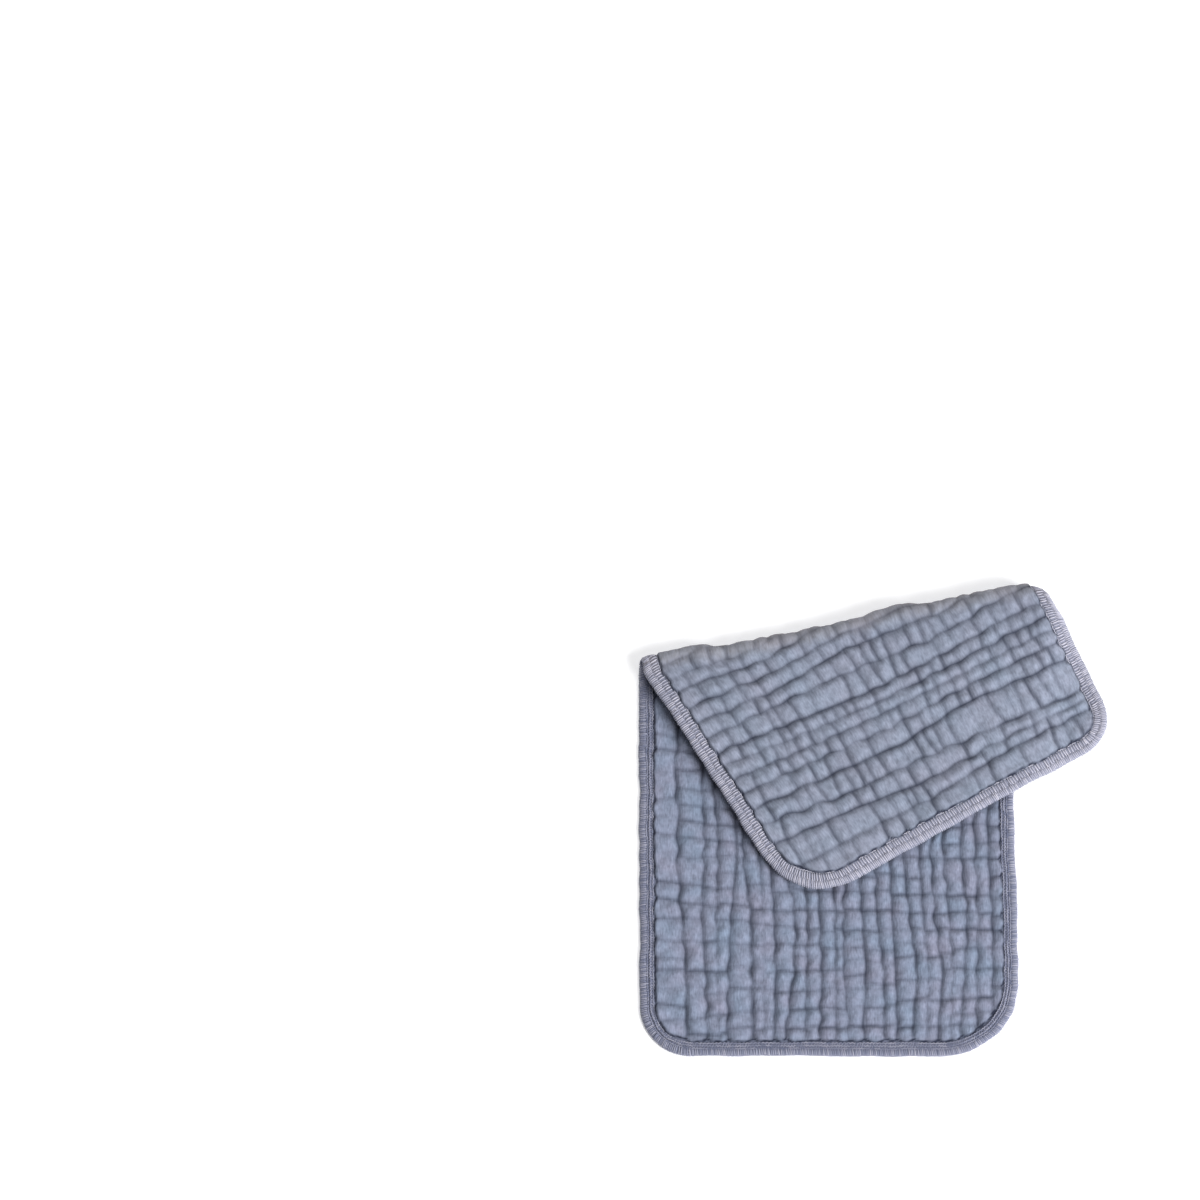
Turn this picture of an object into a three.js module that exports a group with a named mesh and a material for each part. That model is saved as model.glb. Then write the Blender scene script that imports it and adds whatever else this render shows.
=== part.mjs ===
// A burp cloth of crinkled cotton gauze, folded over once at a slant and laid on a surface.
// Millimetres, +Z up. +X is to the right of the folded cloth and +Y towards its fold.
import * as THREE from 'three';
import { mergeVertices } from 'three/addons/utils/BufferGeometryUtils.js';

const { lerp, smoothstep, clamp } = THREE.MathUtils;

// The cloth as it is cut, with its layers puffed up by the crinkle.
const CLOTH = { width: 254, length: 474, cornerRadius: 42, halfThickness: 1.5 };

// The overlocked hem: a flat band with a rounded rim, and the needle line that holds it down.
const HEM = { width: 10, halfThickness: 1.35, rimHalfThickness: 0.9, rimInset: 0.9, needleLine: 1.0 };

// The crinkle: rows of small puffs between soft creases, as heights from the middle of the cloth.
const CRINKLE = { puff: 2.0, crease: 0.85, crossing: 0.45 };

// How uneven the puffs are: in width from one to the next, and in fullness over the cloth.
const PUFF_WIDTH = { range: 0.28, turn: 2.4, change: 0.3 };
const PUFF_FULLNESS = { range: 0.12, turnAcross: 0.9, turnAlong: 0.37 };

// The two waves in which a crease wanders to the side: their size, length, and change to the next one.
const WANDER = [
  { size: 1.5, length: 31, change: 0.09 },
  { size: 0.75, length: 12, change: 0.31 },
];

// How many rows of puffs each stretch of the cloth has, measured along its middle. The fold's are small.
const ACROSS = [{ from: 10, to: 244, puffs: 22 }];
const ALONG = [
  { from: 10, to: 302, puffs: 14 },
  { from: 302, to: 326, puffs: 3 },
  { from: 326, to: 464, puffs: 7 },
];

// The lower layer lies square to the axes, with its lower left corner at zero.
// Its right side draws in a little, and then swings out to the fold, under the flap.
const RIGHT_SIDE = { drawIn: 4, drawFrom: 90, drawTo: 180, swing: 25.5, swingFrom: 180, swingTo: 335 };

// The crest of the fold, left and right: its place, how far along the cloth it is, its bend radius,
// and how far the flap reaches from it, square to the crest and along it.
const CREST = [
  { x: 0.7, y: 281.4, along: 284, radius: 5.0, reach: 192.5, shift: 76.2 },
  { x: 275.5, y: 332.7, along: 350, radius: 8.0, reach: 106, shift: 26.4 },
];

// The hem draws the fold in at both of its ends, so that they are round.
const CREST_ENDS = { left: { width: 0.045, drawIn: 6.5 }, right: { width: 0.065, drawIn: 12 }, fade: 45 };

// The flap sinks from the fold onto the lower layer, and past its right side onto the surface.
const FLAP = { height: 6.5, settle: 105, fallStart: 1, fall: 42, surfaceHeight: 2.4 };

const crestAngle = Math.atan2(CREST[1].y - CREST[0].y, CREST[1].x - CREST[0].x);
const alongCrest = new THREE.Vector2(Math.cos(crestAngle), Math.sin(crestAngle));
const pastCrest = new THREE.Vector2(-alongCrest.y, alongCrest.x);
const crestStart = new THREE.Vector2(CREST[0].x, CREST[0].y);
const crestMiddle = (CREST[0].along + CREST[1].along) / 2;

// A size that changes evenly from the left side of the cloth to the right.
function crestSize(name, share) {
  return lerp(CREST[0][name], CREST[1][name], share);
}

// The right side of the lower layer at a height y on the surface.
function rightSide(y) {
  const drawn = RIGHT_SIDE.drawIn * smoothstep(y, RIGHT_SIDE.drawFrom, RIGHT_SIDE.drawTo);
  return CLOTH.width - drawn + RIGHT_SIDE.swing * smoothstep(y, RIGHT_SIDE.swingFrom, RIGHT_SIDE.swingTo);
}

// The section square to the crest: flat, round the bend, and back as the flap.
// distance is measured along the cloth, and is zero at the crest.
function section(distance, radius) {
  const quarter = (Math.PI / 2) * radius;
  const base = CLOTH.halfThickness;
  if (distance < -quarter) {
    return { out: distance + quarter - radius, height: base };
  }
  if (distance < quarter) {
    const turned = (distance + quarter) / radius;
    return { out: radius * (Math.sin(turned) - 1), height: base + radius * (1 - Math.cos(turned)) };
  }
  const top = base + 2 * radius;
  const height = lerp(top, FLAP.height, smoothstep(distance - quarter, 0, FLAP.settle));
  return { out: quarter - radius - distance, height };
}

// How far the crest is drawn in at its round ends, fading out along the cloth.
function drawnIn(share, distance) {
  const { left, right, fade } = CREST_ENDS;
  const round = (width, depth, fromEnd) => {
    const near = clamp(1 - fromEnd / width, 0, 1);
    return depth * (1 - Math.sqrt(1 - near * near));
  };
  const depth = round(left.width, left.drawIn, share) + round(right.width, right.drawIn, 1 - share);
  return depth * (1 - smoothstep(Math.abs(distance), 0, fade));
}

// The middle of the cloth in space. share runs 0 to 1 across it, and along runs from its lower end.
function middle(share, along) {
  const radius = crestSize('radius', share);
  const slack = (Math.PI / 2 - 1) * radius;
  const crestAlong = crestSize('along', share);
  const onLower = Math.min(along / crestAlong, 1);
  const y = onLower * (crestSize('y', share) + slack * alongCrest.x);
  const flat = new THREE.Vector2(share * rightSide(y) + (1 - share) * CREST[0].x * onLower, y).sub(crestStart);
  const onFlap = Math.max(along - crestAlong, 0) / (CLOTH.length - crestAlong);
  const sideways = flat.dot(alongCrest) + onFlap * crestSize('shift', share);
  const distance = flat.dot(pastCrest) - slack + onFlap * (crestSize('reach', share) + slack);
  const { out, height } = section(distance, radius);
  const place = crestStart.clone().addScaledVector(alongCrest, sideways).addScaledVector(pastCrest, out);
  place.addScaledVector(pastCrest, -drawnIn(share, distance));
  const past = place.x - rightSide(place.y) - FLAP.fallStart;
  const fallen = distance > 0 ? smoothstep(past, 0, FLAP.fall) * smoothstep(distance, 0, FLAP.fall) : 0;
  return new THREE.Vector3(place.x, place.y, lerp(height, FLAP.surfaceHeight, fallen));
}

// The width of the cloth left between its rounded corners, as a share of its full width.
function widthShare(along, inset) {
  const fromEnd = Math.min(along, CLOTH.length - along) - inset;
  const rise = clamp(CLOTH.cornerRadius - inset - fromEnd, 0, CLOTH.cornerRadius - inset);
  const run = Math.sqrt((CLOTH.cornerRadius - inset) ** 2 - rise ** 2);
  return (CLOTH.width - 2 * (CLOTH.cornerRadius - run)) / CLOTH.width;
}

// The width of a puff against the others in its row.
function puffWidth(n) {
  return 1 + PUFF_WIDTH.range * Math.sin(PUFF_WIDTH.turn * n + PUFF_WIDTH.change * n * n);
}

// Grid lines from one edge of the cloth to the other: its rim, hem and needle line,
// and then by turns the middle of a puff and a crease, unevenly spaced.
function gridLines(size, stretches, rimSteps) {
  const rim = rimSteps.map((at) => ({ at, kind: 'hem' }));
  const lines = [...rim, { at: HEM.width, kind: 'needle' }];
  for (const { from, to, puffs } of stretches) {
    const widths = Array.from({ length: puffs }, (_, n) => puffWidth(n));
    const unit = (to - from) / widths.reduce((sum, width) => sum + width, 0);
    let at = from;
    for (const width of widths) {
      lines.push({ at: at + (width * unit) / 2, kind: 'puff' });
      at += width * unit;
      lines.push({ at, kind: 'crease' });
    }
  }
  lines.at(-1).kind = 'needle';
  return [...lines, ...rim.toReversed().map(({ at, kind }) => ({ at: size - at, kind }))];
}

// Rows are square to the sides at both ends of the cloth, and slant with the fold in between.
function slanted(along, share) {
  const straight = 2 * HEM.width;
  const toCrest = along < crestMiddle
    ? (along - straight) / (crestMiddle - straight)
    : (CLOTH.length - straight - along) / (CLOTH.length - straight - crestMiddle);
  return along + clamp(toCrest, 0, 1) * (crestSize('along', share) - crestMiddle);
}

// How far a crease or a row of puffs wanders to the side on its way.
function wander(line, along, size) {
  const inside = smoothstep(Math.min(line.at, size - line.at), HEM.width, 3 * HEM.width);
  const waves = WANDER.map((wave) => wave.size * Math.sin(along / wave.length + wave.change * line.at));
  return inside * waves.reduce((sum, wave) => sum + wave, 0);
}

// The height of the cloth's face above its middle, where one line of each way crosses.
function faceHeight(column, row) {
  const kinds = [column.kind, row.kind];
  if (kinds.includes('hem')) return HEM.halfThickness;
  if (kinds.includes('needle')) return HEM.needleLine;
  const turned = PUFF_FULLNESS.turnAcross * column.at + PUFF_FULLNESS.turnAlong * row.at;
  const fullness = 1 + PUFF_FULLNESS.range * Math.sin(turned);
  const creases = kinds.filter((kind) => kind === 'crease').length;
  return fullness * [CRINKLE.puff, CRINKLE.crease, CRINKLE.crossing][creases];
}

// The direction out of the cloth's upper face, from two short steps on its middle.
function outOf(share, along) {
  const step = 0.4;
  const across = middle(share + step / CLOTH.width, along).sub(middle(share - step / CLOTH.width, along));
  const up = middle(share, along + step).sub(middle(share, along - step));
  return across.cross(up).normalize();
}

// A closed grid, bent to the cloth's shape. Its underside is flat where it lies on the surface.
function clothGeometry() {
  const columns = gridLines(CLOTH.width, ACROSS, [0, HEM.width / 2]);
  const rows = gridLines(CLOTH.length, ALONG, [0, HEM.width / 8, HEM.width / 2]);
  const box = new THREE.BoxGeometry(1, 1, 2, columns.length - 1, rows.length - 1, 2);
  box.deleteAttribute('normal');
  box.deleteAttribute('uv');
  const geometry = mergeVertices(box, 1e-4);
  const points = geometry.attributes.position;
  for (let n = 0; n < points.count; n += 1) {
    const i = Math.round((points.getX(n) + 0.5) * (columns.length - 1));
    const j = Math.round((points.getY(n) + 0.5) * (rows.length - 1));
    const side = Math.sign(Math.round(points.getZ(n)));
    const [column, row] = [columns[i], rows[j]];
    const onRim = i === 0 || j === 0 || i === columns.length - 1 || j === rows.length - 1;
    const inset = onRim ? HEM.rimInset * Math.abs(side) : 0;
    const across = clamp(column.at + wander(column, row.at, CLOTH.width), inset, CLOTH.width - inset);
    const straightAlong = clamp(row.at + wander(row, column.at, CLOTH.length), inset, CLOTH.length - inset);
    const share = 0.5 + (across / CLOTH.width - 0.5) * widthShare(straightAlong, inset);
    const along = slanted(straightAlong, share);
    const face = onRim ? HEM.rimHalfThickness : faceHeight(column, row);
    const point = middle(share, along);
    const pressed = side < 0 && !onRim && point.z <= CLOTH.halfThickness;
    point.addScaledVector(outOf(share, along), side * (pressed ? CLOTH.halfThickness : face));
    points.setXYZ(n, point.x, point.y, Math.max(point.z, 0));
  }
  return geometry;
}

// The cloth stands on the surface with the middle of its box over the origin.
function centred(geometry) {
  geometry.computeBoundingBox();
  const { min, max } = geometry.boundingBox;
  geometry.translate(-(min.x + max.x) / 2, -(min.y + max.y) / 2, -min.z);
  geometry.computeVertexNormals();
  return geometry;
}

const gauze = new THREE.MeshStandardMaterial({ color: 0x8791a8, roughness: 0.95, metalness: 0 });
const cloth = new THREE.Mesh(centred(clothGeometry()), gauze);
cloth.name = 'burp_cloth';

const foldedCloth = new THREE.Group();
foldedCloth.add(cloth);

export default foldedCloth;
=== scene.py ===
"""A burp cloth of crinkled cotton gauze with an overlocked hem, folded over once at a slant.

The cloth is one closed sheet in the space of its CAD solid. Its creases are laid in the flat cloth, in
millimetres, from short tables, and the flat cloth is then carried onto the fold.
"""

import logging
import math
from dataclasses import dataclass
from enum import Enum

import bpy
import numpy as np
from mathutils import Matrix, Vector

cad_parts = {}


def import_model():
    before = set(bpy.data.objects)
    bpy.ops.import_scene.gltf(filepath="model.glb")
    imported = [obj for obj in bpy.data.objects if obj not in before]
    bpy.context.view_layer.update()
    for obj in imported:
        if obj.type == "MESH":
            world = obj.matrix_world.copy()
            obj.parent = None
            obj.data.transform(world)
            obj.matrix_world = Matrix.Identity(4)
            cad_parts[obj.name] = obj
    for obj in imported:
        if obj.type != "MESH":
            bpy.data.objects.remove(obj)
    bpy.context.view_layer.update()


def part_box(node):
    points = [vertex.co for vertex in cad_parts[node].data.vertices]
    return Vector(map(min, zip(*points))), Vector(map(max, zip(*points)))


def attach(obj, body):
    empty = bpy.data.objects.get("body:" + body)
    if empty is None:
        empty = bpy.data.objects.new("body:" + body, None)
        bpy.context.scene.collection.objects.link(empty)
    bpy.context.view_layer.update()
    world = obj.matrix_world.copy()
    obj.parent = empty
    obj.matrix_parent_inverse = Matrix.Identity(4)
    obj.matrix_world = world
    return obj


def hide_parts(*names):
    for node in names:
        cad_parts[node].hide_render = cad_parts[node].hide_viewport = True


LOG = logging.getLogger("burp_cloth")
MILLIMETRE = 0.001
CAD_NODE = "burp_cloth"
Array = np.ndarray
Pair = tuple[Array, Array]
Socket = bpy.types.NodeSocket
# A Span is a range and a Tone an sRGB colour, 0 to 255.
Span = tuple[float, float]
Tone = tuple[int, int, int]


class Face(Enum):
    """The two faces of the cloth, by the sign of the height above its middle."""

    LAID = 1
    TURNED = -1


def smooth_step(value: Array, low: float, high: float) -> Array:
    """Rises smoothly from 0 to 1.

    Args:
        value: What is measured.
        low: Where the rise starts.
        high: Where the rise ends.

    Returns:
        The share of the rise that is passed.
    """
    share = np.clip((value - low) / (high - low), 0.0, 1.0)
    return share * share * (3.0 - 2.0 * share)


def blend(start: Array, end: Array, share: Array) -> Array:
    """Returns the value a share of the way from start to end."""
    return start + (end - start) * share


def quarter_round(distance: Array, size: float) -> Array:
    """Returns the height of a quarter circle's arc, 0 at its edge and 1 from size on."""
    near = np.clip(1.0 - distance / size, 0.0, 1.0)
    return np.sqrt(1.0 - near * near)


def peak(value: Array, place: float, width: float) -> Array:
    """Returns a soft bump, 1 at its place."""
    return np.exp(-(((value - place) / width) ** 2))


def eased(value: Array, knots: tuple[float, ...], heights: tuple[float, ...]) -> Array:
    """Reads a smooth line through a few heights.

    Args:
        value: Where it is read.
        knots: The places of the heights, rising.
        heights: The heights.

    Returns:
        The height of the line.
    """
    total = np.full(np.shape(value), heights[0])
    for low, high, start, end in zip(knots[:-1], knots[1:], heights[:-1], heights[1:]):
        total = total + (end - start) * smooth_step(value, low, high)
    return total


class Ripple:
    """A soft seeded wave with no visible repeat, between about -1 and 1."""

    def __init__(self, seed: int, shortest: float, longest: float, waves: int = 5) -> None:
        """Draws the waves.

        Args:
            seed: The seed of the draw.
            shortest: The shortest wavelength, in millimetres.
            longest: The longest wavelength, in millimetres.
            waves: How many waves are added up.
        """
        draw = np.random.default_rng(seed)
        self.turn = 2.0 * math.pi / draw.uniform(shortest, longest, waves)
        self.phase = draw.uniform(0.0, 2.0 * math.pi, waves)
        self.heading = draw.uniform(0.0, 2.0 * math.pi, waves)

    def read(self, places: list[Array]) -> Array:
        """Returns the waves added up, each read at its own places."""
        total = sum(np.sin(turn * place + phase) for turn, place, phase in zip(self.turn, places, self.phase))
        return total / math.sqrt(2.0 * len(self.turn))

    def along(self, distance: Array) -> Array:
        """Returns the wave at distances along a line."""
        return self.read([distance] * len(self.turn))

    def over(self, across: Array, along: Array) -> Array:
        """Returns the wave at points of a plane."""
        return self.read([across * math.cos(heading) + along * math.sin(heading) for heading in self.heading])


@dataclass(frozen=True)
class Crest:
    """One end of the line that the cloth is folded over."""

    x: float
    y: float
    along: float
    radius: float
    reach: float
    shift: float


@dataclass(frozen=True)
class FoldedShape:
    """The middle of the cloth as it lies folded, in millimetres from the lower layer's corner."""

    width: float = 254.0
    length: float = 474.0
    corners: tuple[float, ...] = (35.0, 53.0, 27.0, 42.0)
    rest_height: float = 1.5
    side_draw: float = 1.5
    side_draws: Span = (90.0, 180.0)
    side_swing: float = 21.0
    side_swings: Span = (180.0, 335.0)
    left: Crest = Crest(x=-0.6, y=281.4, along=284.0, radius=4.7, reach=197.0, shift=76.2)
    right: Crest = Crest(x=275.5, y=332.7, along=350.0, radius=8.0, reach=111.0, shift=31.0)
    left_end_share: float = 0.045
    left_end_draw: float = 1.2
    left_spread: float = 5.0
    left_spread_by: float = 16.0
    left_lift: float = 4.2
    left_lift_knots: tuple[float, ...] = (5.0, 45.0, 110.0, 190.0)
    left_lift_heights: tuple[float, ...] = (0.0, 1.0, 1.0, 0.0)
    right_end_share: float = 0.065
    right_end_draw: float = 12.0
    end_fade: float = 45.0
    crest_shares: tuple[float, ...] = (0.0, 0.13, 0.22, 0.37, 0.47, 0.55, 0.63, 0.74, 0.86, 1.0)
    crest_sag: tuple[float, ...] = (0.8, 0.8, 4.2, 3.6, 2.4, 1.2, -2.4, 0.0, -1.6, -1.2)
    flap_height: float = 6.9
    flap_settle: float = 105.0
    flap_fall_start: float = 1.0
    flap_fall: float = 42.0
    floor_height: float = 2.4
    # How much painted warm reflection the fold's round and the band beside the crest get.
    reflection_on_round: float = 0.55
    reflection_beside: float = 0.31
    reflection_fades: Span = (6.0, 19.0)
    round_faces: Span = (0.35, 0.97)
    under_faces: Span = (-0.6, 0.5)
    probe: float = 0.4

    def crest(self, name: str, share: Array) -> Array:
        """Returns one size of the crest at a share of the width."""
        return blend(getattr(self.left, name), getattr(self.right, name), share)

    def right_side(self, y: Array) -> Array:
        """Returns how far right the lower layer's right side lies at a height of the plan."""
        drawn = self.side_draw * smooth_step(y, *self.side_draws)
        return self.width - drawn + self.side_swing * smooth_step(y, *self.side_swings)

    def drawn_in(self, share: Array, distance: Array) -> Array:
        """Returns how far the ends of the fold are rounded back, and its middle sags."""
        left = self.left_end_draw * (1.0 - quarter_round(share, self.left_end_share))
        right = self.right_end_draw * (1.0 - quarter_round(1.0 - share, self.right_end_share))
        sagged = left + right + eased(share, self.crest_shares, self.crest_sag)
        return sagged * (1.0 - smooth_step(np.abs(distance), 0.0, self.end_fade))

    def middle(self, across: Array, along: Array) -> Array:
        """Carries points of the flat cloth onto the folded middle.

        Args:
            across: Millimetres from the left side of the flat cloth.
            along: Millimetres from the lower end of the flat cloth.

        Returns:
            The places, one row of x, y and z each.
        """
        share = across / self.width
        angle = math.atan2(self.right.y - self.left.y, self.right.x - self.left.x)
        ahead, past = (math.cos(angle), math.sin(angle)), (-math.sin(angle), math.cos(angle))
        radius, crest_along = self.crest("radius", share), self.crest("along", share)
        slack = (math.pi / 2.0 - 1.0) * radius
        on_lower = np.minimum(along / crest_along, 1.0)
        flat_y = on_lower * (self.crest("y", share) + slack * ahead[0])
        flat_x = share * self.right_side(flat_y) + (1.0 - share) * self.left.x * on_lower - self.left.x
        flat_y = flat_y - self.left.y
        on_flap = np.maximum(along - crest_along, 0.0) / (self.length - crest_along)
        sideways = flat_x * ahead[0] + flat_y * ahead[1] + on_flap * self.crest("shift", share)
        distance = flat_x * past[0] + flat_y * past[1] - slack + on_flap * (self.crest("reach", share) + slack)
        sideways = sideways - self.left_spread * (1.0 - share) ** 2 * smooth_step(distance, 0.0, self.left_spread_by)
        quarter = math.pi / 2.0 * radius
        turned = np.clip((distance + quarter) / radius, 0.0, math.pi)
        out = np.where(distance < -quarter, distance + quarter - radius,
                       np.where(distance < quarter, radius * (np.sin(turned) - 1.0), quarter - radius - distance))
        top = self.rest_height + 2.0 * radius
        settled = blend(top, self.flap_height, smooth_step(distance - quarter, 0.0, self.flap_settle))
        settled = settled + self.left_lift * (1.0 - share) ** 3 * eased(
            distance, self.left_lift_knots, self.left_lift_heights)
        bent = self.rest_height + radius * (1.0 - np.cos(turned))
        height = np.where(distance < -quarter, self.rest_height, np.where(distance < quarter, bent, settled))
        out = out - self.drawn_in(share, distance)
        x = self.left.x + ahead[0] * sideways + past[0] * out
        y = self.left.y + ahead[1] * sideways + past[1] * out
        overhang = x - self.right_side(y) - self.flap_fall_start
        fallen = smooth_step(overhang, 0.0, self.flap_fall) * smooth_step(distance, 0.0, self.flap_fall)
        return np.stack([x, y, blend(height, self.floor_height, np.where(distance > 0.0, fallen, 0.0))], axis=-1)

    def normal(self, across: Array, along: Array) -> Array:
        """Returns the unit directions that the laid face looks in, by short steps on the middle."""
        step_across = self.middle(across + self.probe, along) - self.middle(across - self.probe, along)
        step_along = self.middle(across, along + self.probe) - self.middle(across, along - self.probe)
        facing = np.cross(step_across, step_along)
        return facing / np.linalg.norm(facing, axis=-1, keepdims=True)

    def painted_fold_reflection(self, across: Array, along: Array) -> Array:
        """Returns how much painted warm reflection the fold gets, most on its round and none underneath."""
        facing_up = -self.normal(across, along)[..., 2]
        past = along - self.crest("along", across / self.width)
        rounded = self.reflection_on_round * (1.0 - smooth_step(facing_up, *self.round_faces))
        beside = self.reflection_beside * (1.0 - smooth_step(past, *self.reflection_fades))
        return np.maximum(rounded, beside) * smooth_step(facing_up, *self.under_faces)


@dataclass(frozen=True)
class Outline:
    """The outline of the flat cloth: a rectangle with rounded corners, its edge a little uneven."""

    width: float
    length: float
    corners: tuple[float, ...]
    uneven: float = 0.5
    uneven_depth: float = 24.0
    arc_blend_from: float = 0.2
    arc_rim: float = 10.0
    probe: float = 0.05

    @property
    def area(self) -> float:
        """The flat area in square millimetres."""
        return self.width * self.length - (1.0 - math.pi / 4.0) * sum(corner**2 for corner in self.corners)

    @property
    def girth(self) -> float:
        """The length round the edge in millimetres."""
        return 2.0 * (self.width + self.length) - (2.0 - math.pi / 2.0) * sum(self.corners)

    def corner_at(self, across: Array, along: Array) -> Array:
        """Returns the radius of the corner in whose quarter of the cloth each point lies."""
        lower_left, lower_right, upper_right, upper_left = self.corners
        lower = np.where(across < self.width / 2.0, lower_left, lower_right)
        upper = np.where(across < self.width / 2.0, upper_left, upper_right)
        return np.where(along < self.length / 2.0, lower, upper)

    def inset(self, across: Array, along: Array) -> Array:
        """Returns how far inside the edge the points of the flat cloth lie."""
        corner = self.corner_at(across, along)
        beyond_x = np.abs(across - self.width / 2.0) - (self.width / 2.0 - corner)
        beyond_y = np.abs(along - self.length / 2.0) - (self.length / 2.0 - corner)
        outside = np.hypot(np.maximum(beyond_x, 0.0), np.maximum(beyond_y, 0.0))
        return corner - outside - np.minimum(np.maximum(beyond_x, beyond_y), 0.0)

    def rounded(self, across: Array, along: Array) -> Pair:
        """Moves the points of a plain rectangle into the rounded one.

        Args:
            across: Millimetres from the left side.
            along: Millimetres from the lower end.

        Returns:
            The moved points, across and along.
        """
        corner = self.corner_at(across, along)
        side_x = np.where(across < self.width / 2.0, -1.0, 1.0)
        side_y = np.where(along < self.length / 2.0, -1.0, 1.0)
        corner_x = self.width / 2.0 + side_x * (self.width / 2.0 - corner)
        corner_y = self.length / 2.0 + side_y * (self.length / 2.0 - corner)
        out_x = np.maximum((across - corner_x) * side_x / corner, 0.0)
        out_y = np.maximum((along - corner_y) * side_y / corner, 0.0)
        largest, spread = np.maximum(out_x, out_y), np.hypot(out_x, out_y)
        arc = np.where((out_x > 0.0) & (out_y > 0.0), largest / np.maximum(spread, 1e-9), 1.0)
        scale = blend(1.0, arc, smooth_step(largest, self.arc_blend_from, 1.0 - self.arc_rim / corner))
        moved_x = np.where(out_x > 0.0, corner_x + side_x * out_x * scale * corner, across)
        moved_y = np.where(out_y > 0.0, corner_y + side_y * out_y * scale * corner, along)
        return moved_x, moved_y

    def outward(self, across: Array, along: Array) -> Pair:
        """Returns the directions, across and along, that lead to the nearest edge."""
        slope_x = self.inset(across - self.probe, along) - self.inset(across + self.probe, along)
        slope_y = self.inset(across, along - self.probe) - self.inset(across, along + self.probe)
        size = np.maximum(np.hypot(slope_x, slope_y), 1e-9)
        return slope_x / size, slope_y / size

    def edge_point(self, distance: Array, inset: Array) -> Pair:
        """Finds points along the edge.

        Args:
            distance: Millimetres round the edge, anticlockwise from the lower left corner's end.
            inset: Millimetres inside the edge.

        Returns:
            The points of the flat cloth, across and along.
        """
        left = np.mod(distance, self.girth)
        across, along = np.zeros(np.shape(left)), np.zeros(np.shape(left))
        done = np.zeros(np.shape(left), dtype=bool)
        for turn in range(4):
            ahead = (round(math.cos(turn * math.pi / 2.0)), round(math.sin(turn * math.pi / 2.0)))
            out = (ahead[1], -ahead[0])
            corner = self.corners[(turn + 1) % 4]
            straight = (self.width, self.length)[turn % 2] - self.corners[turn] - corner
            hub_x = (out[0] + ahead[0]) * (self.width / 2.0 - corner)
            hub_y = (out[1] + ahead[1]) * (self.length / 2.0 - corner)
            here = ~done & (left < straight + math.pi / 2.0 * corner)
            bend = np.clip((left - straight) / corner, 0.0, math.pi / 2.0)
            back, reach = np.minimum(left - straight, 0.0), corner - inset
            x = hub_x + ahead[0] * back + reach * (out[0] * np.cos(bend) + ahead[0] * np.sin(bend))
            y = hub_y + ahead[1] * back + reach * (out[1] * np.cos(bend) + ahead[1] * np.sin(bend))
            across, along = np.where(here, x, across), np.where(here, y, along)
            done = done | here
            left = np.where(done, left, left - straight - math.pi / 2.0 * corner)
        return across + self.width / 2.0, along + self.length / 2.0


@dataclass(frozen=True)
class LongCrease:
    """A crease that runs right over the cloth: its place and its depth, 0 to 1, at each station."""

    at: tuple[float, ...]
    depth: tuple[float, ...]


@dataclass(frozen=True)
class ShortCrease:
    """A main crease over several bands: where it starts and ends across them, and its places there."""

    start: float
    end: float
    at: float
    end_at: float
    depth: float


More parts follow.
